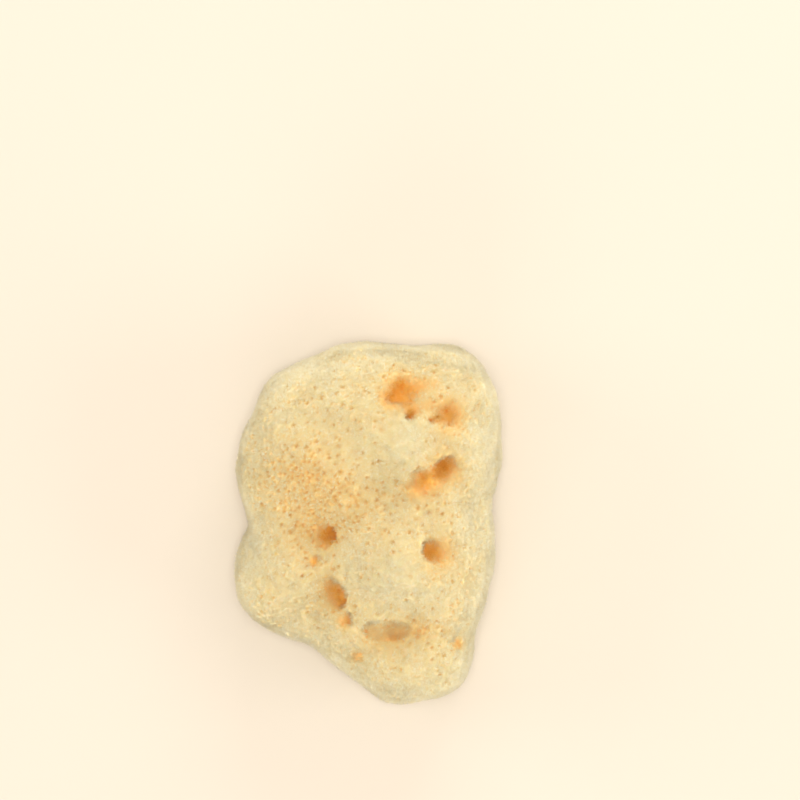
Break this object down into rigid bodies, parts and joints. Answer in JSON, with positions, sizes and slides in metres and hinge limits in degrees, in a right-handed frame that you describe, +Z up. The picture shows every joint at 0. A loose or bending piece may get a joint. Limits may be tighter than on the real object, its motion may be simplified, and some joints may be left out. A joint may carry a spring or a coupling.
{
  "type": "natural sea sponge",
  "caption": "Dried and bleached bath sponge: a soft, lobed oval with wide canals in its upper side, cut flat where it grew on the rock.",
  "frame": {"origin": "on the flat cut, under the middle of the sponge's box", "axes": "+Z up from the cut, +Y along the sponge towards its broad crown, +X across it"},
  "size_m": [0.071, 0.096, 0.041],
  "materials": {
    "spongin": "bleached spongin fibre, matt and velvety, pale straw yellow, orange-brown inside the canals"
  },
  "bodies": {
    "root": {"sponge": "spongin"}
  },
  "joints": []
}
